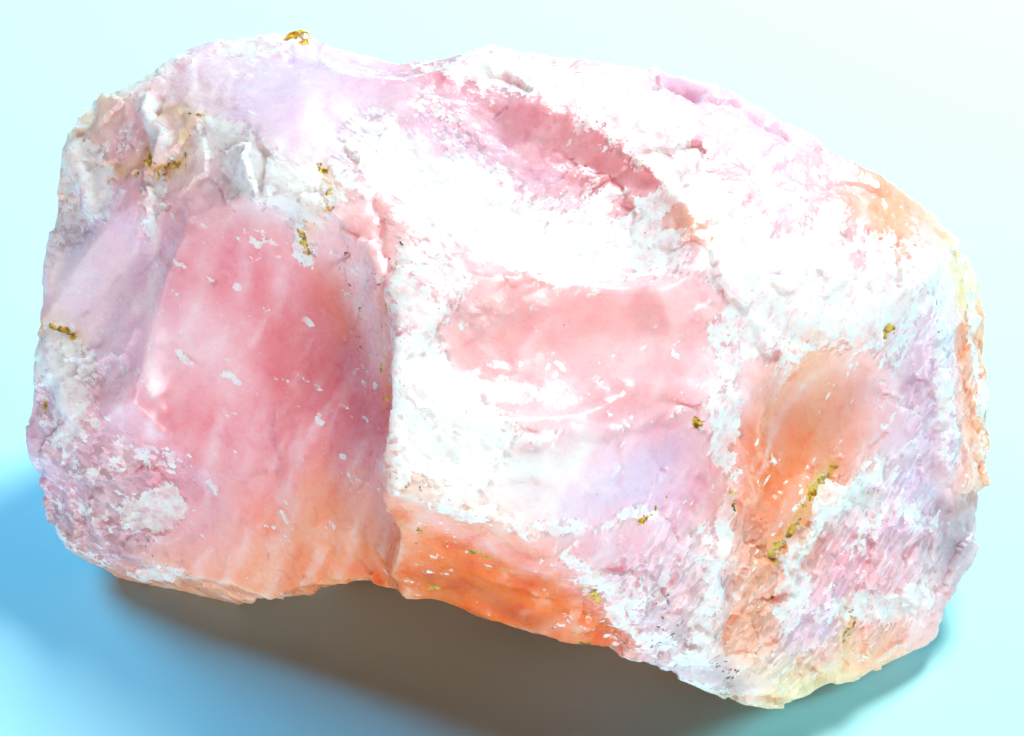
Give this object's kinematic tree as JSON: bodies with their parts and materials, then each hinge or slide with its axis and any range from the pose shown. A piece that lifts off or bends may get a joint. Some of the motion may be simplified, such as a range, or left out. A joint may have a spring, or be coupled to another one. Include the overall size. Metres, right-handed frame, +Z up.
{
  "type": "rose quartz chunk",
  "caption": "Rough, hand-sized chunk of rose quartz with broken, bowl-shaped faces, resting on its flat underside as a loose mineral specimen or ornament.",
  "frame": {"origin": "centre of the bounding box, at the level of the flat face that the stone rests on", "axes": "+X along the longest side, towards the narrow end; +Y towards the back; +Z up"},
  "size_m": [0.12, 0.069, 0.052],
  "materials": {
    "rose_quartz": "glassy broken faces, frosted white crusts and ochre-stained cracks"
  },
  "bodies": {
    "root": {"rose_quartz_chunk": "rose_quartz"}
  },
  "joints": []
}
